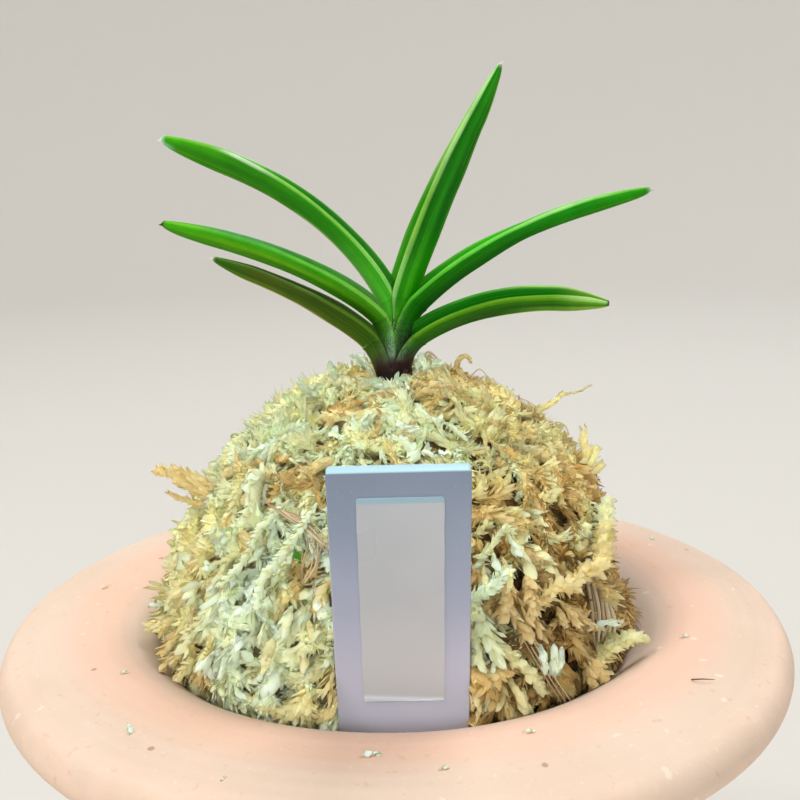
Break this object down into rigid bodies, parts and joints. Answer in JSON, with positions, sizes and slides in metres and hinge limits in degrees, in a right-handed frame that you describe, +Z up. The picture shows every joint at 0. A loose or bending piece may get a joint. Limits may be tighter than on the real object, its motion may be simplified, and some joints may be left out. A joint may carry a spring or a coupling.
{
  "type": "potted wind orchid",
  "caption": "Small potted orchid: a fan of folded arching leaves on a short dark stem, set on a tall dome of sphagnum moss in a wide-rimmed bisque clay pot with a blank plant tag.",
  "frame": {"origin": "centre of the pot's foot, on the surface that the pot stands on", "axes": "+Z up along the pot's axis, -Y towards the tag at the front, +X to the right seen from the front; the fan of leaves lies roughly in the XZ plane"},
  "size_m": [0.105, 0.105, 0.1587],
  "materials": {
    "bisque_clay": "matte unglazed bisque clay, fine-grained, faint turning marks",
    "moss": "dried sphagnum moss, pale cream and mint to tan and brown, rough and fibrous",
    "stem": "dark purple-brown stem with grey-green speckled leaf bases, satin",
    "leaf": "thick waxy leaf, dark and bright green with pale lengthwise stripes, satin",
    "root": "silvery white spongy root with a green tip, matte",
    "tag_plastic": "pale grey-white plastic, satin",
    "tag_tape": "off-white laminated tape, smooth"
  },
  "bodies": {
    "root": {"pot": "bisque_clay", "moss_mound": "moss", "stem": "stem", "leaf_left_upper": "leaf", "leaf_left_middle": "leaf", "leaf_left_lower": "leaf", "leaf_right_upper": "leaf", "leaf_right_middle": "leaf", "leaf_right_lower": "leaf", "root_1": "root", "root_2": "root", "root_3": "root", "root_4": "root", "root_5": "root", "name_tag": "tag_plastic", "tag_sticker": "tag_tape", "moss_strand_curl": "moss", "moss_strand_spike": "moss", "moss_frond_left": "moss", "moss_frond_right": "moss"}
  },
  "joints": []
}
